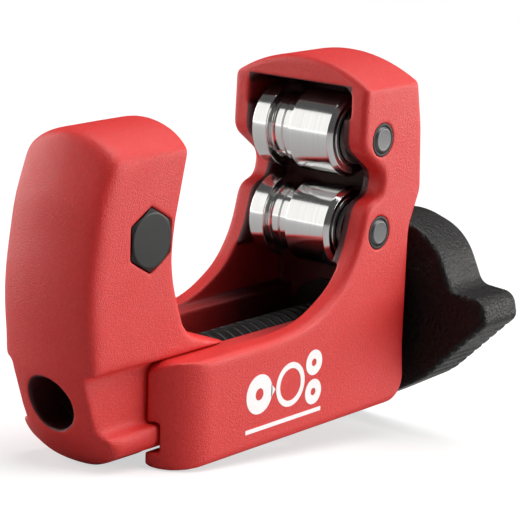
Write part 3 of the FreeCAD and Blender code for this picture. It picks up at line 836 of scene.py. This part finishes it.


# Paints shade: a mask for the dark between the frame's cheeks and inside the screw's bore.
def build_painted_shade():
    group, given, out = new_group("painted_shade", [
        ("Half Width", "NodeSocketFloat", 0.0098),
        ("Depth Start", "NodeSocketFloat", -0.034),
        ("Depth End", "NodeSocketFloat", -0.008),
        ("Bore Height", "NodeSocketFloat", 0.0108),
        ("Bore Radius", "NodeSocketFloat", 0.0042),
    ], [("Mask", "NodeSocketFloat")])
    where = group.nodes.new("ShaderNodeTexCoord").outputs["Object"]
    place = add_node(group, "ShaderNodeSeparateXYZ", None, Vector=where)
    x, y, z = place.outputs[0], place.outputs[1], place.outputs[2]
    width = math_node(group, "SUBTRACT", given.outputs["Half Width"], math_node(group, "ABSOLUTE", y))
    between = spread(group, width, -EDGE_FADE, 0.0)
    run = math_node(group, "SUBTRACT", given.outputs["Depth End"], given.outputs["Depth Start"])
    depth = math_node(group, "DIVIDE", math_node(group, "SUBTRACT", x, given.outputs["Depth Start"]), run)
    deep_shade = spread(group, depth, 0.0, 1.0)
    rise = math_node(group, "SUBTRACT", z, given.outputs["Bore Height"])
    reach = add_node(group, "ShaderNodeCombineXYZ", None, X=y, Y=rise).outputs[0]
    radius = add_node(group, "ShaderNodeVectorMath", {"operation": "LENGTH"}, i0=reach).outputs["Value"]
    within = math_node(group, "SUBTRACT", given.outputs["Bore Radius"], radius)
    inside = spread(group, within, -EDGE_FADE / 2, 0.0)
    under_roof = spread(group, z, ROOF_LEVEL, ROOF_LEVEL + EDGE_FADE, 1.0, 0.0)
    over_base = spread(group, z, BASE_LEVEL, BASE_LEVEL + LEVEL_FADE)
    before_back = spread(group, x, BACK_LEVEL, BACK_LEVEL + LEVEL_FADE, 1.0, 0.0)
    for limit in (under_roof, over_base, before_back):
        between = math_node(group, "MULTIPLY", between, limit)
    both = math_node(group, "MAXIMUM", math_node(group, "MULTIPLY", between, deep_shade), inside)
    group.links.new(both, out.inputs["Mask"])
    return group


painted_shade = build_painted_shade()
print("group", painted_shade.name)

# %% [markdown]
# ## Finishes
#
# Each material is a Principled shader fed by the groups. Numbers that hold for the whole surface
# are set on the shader itself, and only what changes from place to place comes from nodes.

# %% Helpers for finishes
def new_finish(name, **values):
    """A material with its Principled shader set to the given values."""
    finish = bpy.data.materials.new(name)
    finish.use_nodes = True
    shader = finish.node_tree.nodes["Principled BSDF"]
    for key, value in values.items():
        shader.inputs[key.replace("_", " ")].default_value = value
    return finish, finish.node_tree, shader


def place_group(tree, group, **values):
    node = tree.nodes.new("ShaderNodeGroup")
    node.node_tree = group
    for key, value in values.items():
        node.inputs[key.replace("_", " ")].default_value = value
    return node


def mix_colours(tree, share, first, second):
    node = add_node(tree, "ShaderNodeMix", {"data_type": "RGBA"})
    tree.links.new(share, node.inputs[0])
    node.inputs[6].default_value = (*first, 1.0)
    node.inputs[7].default_value = (*second, 1.0)
    return node.outputs[2]


def add_relief(tree, shader, height, depth, strength=1.0):
    """Bump from a height, with its depth in millimetres."""
    bump = add_node(tree, "ShaderNodeBump", None, Strength=strength, Distance=depth * MM, Height=height)
    tree.links.new(bump.outputs["Normal"], shader.inputs["Normal"])


# %% [markdown]
# ### Red paint
#
# A powder coat with a fine sandy bite. It is a deep red that turns pinkish where its gloss mirrors
# a broad light, and painted shade darkens its colour in the deep recesses and the screw's bore.

# %% Red paint
DEEP_RED = (0.58, 0.014, 0.012)
BRIGHT_RED = (0.70, 0.022, 0.018)
# Near-black red painted in as shade between the frame's cheeks and inside the screw's bore.
PAINTED_SHADE_RED = (0.050, 0.002, 0.004)


def make_red_paint():
    finish, tree, shader = new_finish("red_paint", Roughness=0.5, Specular_IOR_Level=0.5)
    grain = place_group(tree, cast_grain, Bead_Scale=5000.0, Wave_Scale=1800.0, Wave_Share=0.3)
    colour = mix_colours(tree, grain.outputs["Mottle"], DEEP_RED, BRIGHT_RED)
    # Painted shade: the shade mask mixes the colour towards near-black red in the recesses and the bore.
    deep_shade = place_group(tree, painted_shade)
    shaded = add_node(tree, "ShaderNodeMix", {"data_type": "RGBA"}, i6=colour, i7=(*PAINTED_SHADE_RED, 1.0))
    tree.links.new(deep_shade.outputs["Mask"], shaded.inputs[0])
    tree.links.new(shaded.outputs[2], shader.inputs["Base Color"])
    marks = place_group(tree, smudges, Size=160.0)
    tree.links.new(spread(tree, marks.outputs["Mask"], 0.0, 1.0, 0.46, 0.54), shader.inputs["Roughness"])
    add_relief(tree, shader, grain.outputs["Height"], 0.10)
    return finish


red_paint = make_red_paint()

# %% [markdown]
# ### Chrome, ground steel and tool steel
#
# These are one kind of metal with different tool marks: chrome is nearly a mirror with faint
# rings, the ground steel of the pins is dark grey and duller, tool steel lies between the two, and
# bronze is warm and dull.

# %% Turned metals
def make_turned_metal(name, centre, colours, roughness, ring_depth, ring_scale):
    """Metal with lathe rings round the Y line through centre. Depth and centre are in millimetres."""
    finish, tree, shader = new_finish(name, Metallic=1.0)
    rings_node = place_group(tree, tool_marks, Centre=Vector(centre) * MM, Axis=(0.0, 1.0, 0.0),
                             Ring_Scale=ring_scale)
    patches = place_group(tree, smudges, Size=180.0)
    tree.links.new(mix_colours(tree, rings_node.outputs["Streak"], *colours), shader.inputs["Base Color"])
    rough = spread(tree, rings_node.outputs["Streak"], 0.0, 1.0, roughness[0], roughness[1])
    rough = math_node(tree, "ADD", rough, math_node(tree, "MULTIPLY", patches.outputs["Mask"], 0.03))
    tree.links.new(rough, shader.inputs["Roughness"])
    add_relief(tree, shader, rings_node.outputs["Height"], ring_depth)
    return finish


CHROME = ((0.66, 0.665, 0.66), (0.78, 0.785, 0.78))
STEEL = ((0.10, 0.10, 0.102), (0.17, 0.17, 0.172))
HARD_STEEL = ((0.36, 0.36, 0.38), (0.50, 0.50, 0.52))
BRONZE = ((0.40, 0.25, 0.10), (0.55, 0.38, 0.18))
top_centre, bottom_centre = middle_mm("top_roller"), middle_mm("bottom_roller")
CHROME_LOOK = (CHROME, (0.10, 0.17), 0.0006, 9000.0)
PIN_LOOK = (STEEL, (0.38, 0.5), 0.004, 6000.0)
chrome_top = make_turned_metal("chrome_top", (top_centre.x, 0, top_centre.z), *CHROME_LOOK)
chrome_bottom = make_turned_metal("chrome_bottom", (bottom_centre.x, 0, bottom_centre.z), *CHROME_LOOK)
pin_steel_top = make_turned_metal("pin_steel_top", (0, 0, top_centre.z), *PIN_LOOK)
pin_steel_bottom = make_turned_metal("pin_steel_bottom", (0, 0, bottom_centre.z), *PIN_LOOK)
wheel_steel = make_turned_metal("wheel_steel", tuple(wheel_centre), HARD_STEEL, (0.18, 0.3), 0.003, 8000.0)
bush_bronze = make_turned_metal("bush_bronze", (0, 0, SCREW_Z), BRONZE, (0.35, 0.5), 0.004, 3000.0)

# %% [markdown]
# ### Black steel and black plastic
#
# Black oxide is a thin dark skin with a dull metallic gloss, on the screw, the axle and the
# rings. The knob is a moulding with a leathery grain that shines softly where light skims it.

# %% Black finishes
OXIDE_BLACKS = ((0.007, 0.007, 0.0073), (0.015, 0.015, 0.0155))
PLASTIC_BLACKS = ((0.0045, 0.0038, 0.0038), (0.0085, 0.0072, 0.0070))


def make_black_steel():
    finish, tree, shader = new_finish("black_steel", Metallic=0.3, Specular_IOR_Level=0.4)
    grain = place_group(tree, cast_grain, Bead_Scale=7000.0, Wave_Scale=900.0, Wave_Share=0.3)
    colour = mix_colours(tree, grain.outputs["Mottle"], *OXIDE_BLACKS)
    tree.links.new(colour, shader.inputs["Base Color"])
    marks = place_group(tree, smudges, Size=300.0)
    tree.links.new(spread(tree, marks.outputs["Mask"], 0.0, 1.0, 0.38, 0.5), shader.inputs["Roughness"])
    add_relief(tree, shader, grain.outputs["Height"], 0.006)
    return finish


def make_black_plastic():
    finish, tree, shader = new_finish("black_plastic", Specular_IOR_Level=0.22)
    grain = place_group(tree, cast_grain, Bead_Scale=1900.0, Wave_Scale=600.0, Wave_Share=0.3)
    colour = mix_colours(tree, grain.outputs["Mottle"], *PLASTIC_BLACKS)
    tree.links.new(colour, shader.inputs["Base Color"])
    marks = place_group(tree, smudges, Size=140.0)
    tree.links.new(spread(tree, marks.outputs["Mask"], 0.0, 1.0, 0.34, 0.42), shader.inputs["Roughness"])
    add_relief(tree, shader, grain.outputs["Height"], 0.30)
    return finish


black_steel = make_black_steel()
black_plastic = make_black_plastic()

# %% [markdown]
# ### White ink
#
# Screen-printed ink is matt, a touch off white, and thins a little over the paint's grain.

# %% White ink
INK_WHITES = ((0.86, 0.84, 0.84), (0.93, 0.92, 0.92))


def make_white_ink():
    finish, tree, shader = new_finish("white_ink", Specular_IOR_Level=0.4)
    grain = place_group(tree, cast_grain, Bead_Scale=3000.0, Wave_Scale=420.0, Wave_Share=0.5)
    colour = mix_colours(tree, grain.outputs["Mottle"], *INK_WHITES)
    tree.links.new(colour, shader.inputs["Base Color"])
    tree.links.new(spread(tree, grain.outputs["Mottle"], 0.0, 1.0, 0.5, 0.6), shader.inputs["Roughness"])
    add_relief(tree, shader, grain.outputs["Height"], 0.03, 0.6)
    return finish


white_ink = make_white_ink()

# %% [markdown]
# ## Dressing the pieces
#
# Every piece gets its finish, and so does every CAD node that is shown as it is, such as the
# washers and the bushes.

# %% Who wears which finish
def wear(finish, *pieces):
    for piece in pieces:
        piece.data.materials.clear()
        piece.data.materials.append(finish)


def dress_node(finish, *names):
    """Puts a finish in a CAD node's own material slots."""
    for name in names:
        for each in nodes[name].material_slots:
            each.material = finish


wear(red_paint, frame_casting, arm_casting)
wear(chrome_top, rollers[0])
wear(chrome_bottom, rollers[1])
wear(pin_steel_top, pins[0])
wear(pin_steel_bottom, pins[1])
wear(black_steel, feed_screw, hex_axle, locking_nut, *rings)
wear(black_plastic, thumb_knob)
wear(wheel_steel, cutting_wheel)
wear(white_ink, printed_mark)
dress_node(bush_bronze, "feed_nut", "top_roller_bush", "bottom_roller_bush")
dress_node(pin_steel_top, "roller_washers", "wheel_washers", "thrust_washer", "knob_insert")
dress_node(black_steel, "screw_bush")
print("materials:", sorted(m.name for m in bpy.data.materials if m.users))

# %% [markdown]
# ## The bench
#
# The tool lies as it would on a bench: the knob's lower lobe hangs under the base, so the tool
# rests on the base's front edge and on that lobe. The bench is drawn on that slope, because the CAD
# model keeps the base level. It glows a little for the camera alone, so it looks white without
# throwing much light back up at the tool.

# %% Bench
BENCH_FRONT = Vector((-45.3, 0.0, 0.0)) * MM
BENCH_REST = Vector((12.2, 0.0, -7.0)) * MM
BENCH_REACH = 3.0
BENCH_GLOW = 0.60
BENCH_GREYS = ((0.36, 0.36, 0.36), (0.39, 0.39, 0.39))


def add_bench():
    """A wide plain sheet through the two lines that the tool rests on."""
    along = (BENCH_REST - BENCH_FRONT).normalized()
    corners = []
    for u, v in ((-1, -1), (1, -1), (1, 1), (-1, 1)):
        corners.append(BENCH_FRONT + along * u * BENCH_REACH + Vector((0, v * BENCH_REACH, 0)))
    mesh = bpy.data.meshes.new("bench")
    mesh.from_pydata(corners, [], [(0, 1, 2, 3)])
    bench = bpy.data.objects.new("bench", mesh)
    bpy.context.scene.collection.objects.link(bench)
    finish, tree, shader = new_finish("bench_white", Roughness=0.7, Specular_IOR_Level=0.2)
    grain = place_group(tree, cast_grain, Bead_Scale=1500.0, Wave_Scale=200.0)
    colour = mix_colours(tree, grain.outputs["Mottle"], *BENCH_GREYS)
    tree.links.new(colour, shader.inputs["Base Color"])
    shader.inputs["Emission Color"].default_value = (1, 1, 1, 1)
    path = tree.nodes.new("ShaderNodeLightPath")
    glow = math_node(tree, "MULTIPLY", path.outputs["Is Camera Ray"], BENCH_GLOW)
    tree.links.new(glow, shader.inputs["Emission Strength"])
    mesh.materials.append(finish)
    return bench


bench = add_bench()

# %% [markdown]
# ## The lights
#
# A wide soft sun stands for a ceiling of softboxes. A low bright softbox at the right front gives
# the near side its pale gloss. A tall card to the left and behind draws the white band on the
# rollers, and a rim card at the far side lights the left edge of the arm.

# %% Lights
TARGET = Vector((-0.020, 0.0, 0.025))
WARM_WHITE = (1.0, 0.985, 0.96)


def aim(light, direction, distance):
    """Stands a light off in a direction from the tool's middle and turns it to face the tool."""
    direction = Vector(direction).normalized()
    light.location = TARGET + direction * distance
    light.rotation_euler = direction.to_track_quat("Z", "Y").to_euler()


def add_softbox(name, direction, distance, width, height, radiance):
    """An area light whose brightness is given as the value its face shows."""
    data = bpy.data.lights.new(name, "AREA")
    data.shape = "RECTANGLE"
    data.size, data.size_y = width, height
    data.energy = radiance * math.pi * width * height
    data.color = WARM_WHITE
    light = bpy.data.objects.new(name, data)
    bpy.context.scene.collection.objects.link(light)
    aim(light, direction, distance)
    return light


def add_ceiling(direction, strength, spread_degrees):
    """A sun whose disc is spread_degrees across, so its shadows are very soft."""
    data = bpy.data.lights.new("ceiling", "SUN")
    data.energy = strength
    data.angle = math.radians(spread_degrees)
    light = bpy.data.objects.new("ceiling", data)
    bpy.context.scene.collection.objects.link(light)
    aim(light, direction, 1.0)
    return light


lights = [
    add_ceiling((0.35, -0.22, 1.0), 3.4, 60),
    add_softbox("side_box", (0.74, -0.66, 0.13), 0.50, 0.50, 0.16, 9.0),
    add_softbox("back_card", (-0.72, 0.60, 0.34), 0.50, 0.40, 0.50, 1.2),
    add_softbox("rim_card", (-0.20, 0.97, 0.15), 0.60, 0.33, 0.40, 6.5),
]
print("lights:", [light.name for light in lights])

# %% [markdown]
# ### The room
#
# The camera sees a white room, while the tool sees a much dimmer one. A Light Path node in the
# world tells the two apart, so the chrome gets dark parts between its lights.

# %% Room
def add_room(seen, felt):
    """A world with one strength for the camera and another for everything else."""
    world = bpy.data.worlds.new("white_room")
    bpy.context.scene.world = world
    world.use_nodes = True
    tree = world.node_tree
    path = tree.nodes.new("ShaderNodeLightPath")
    mix = add_node(tree, "ShaderNodeMix", {"data_type": "FLOAT"})
    tree.links.new(path.outputs["Is Camera Ray"], mix.inputs[0])
    mix.inputs[2].default_value = felt
    mix.inputs[3].default_value = seen
    background = tree.nodes["Background"]
    background.inputs["Color"].default_value = (1, 1, 1, 1)
    tree.links.new(mix.outputs[0], background.inputs["Strength"])


add_room(1.0, 0.10)
bpy.context.scene.view_settings.view_transform = "Standard"
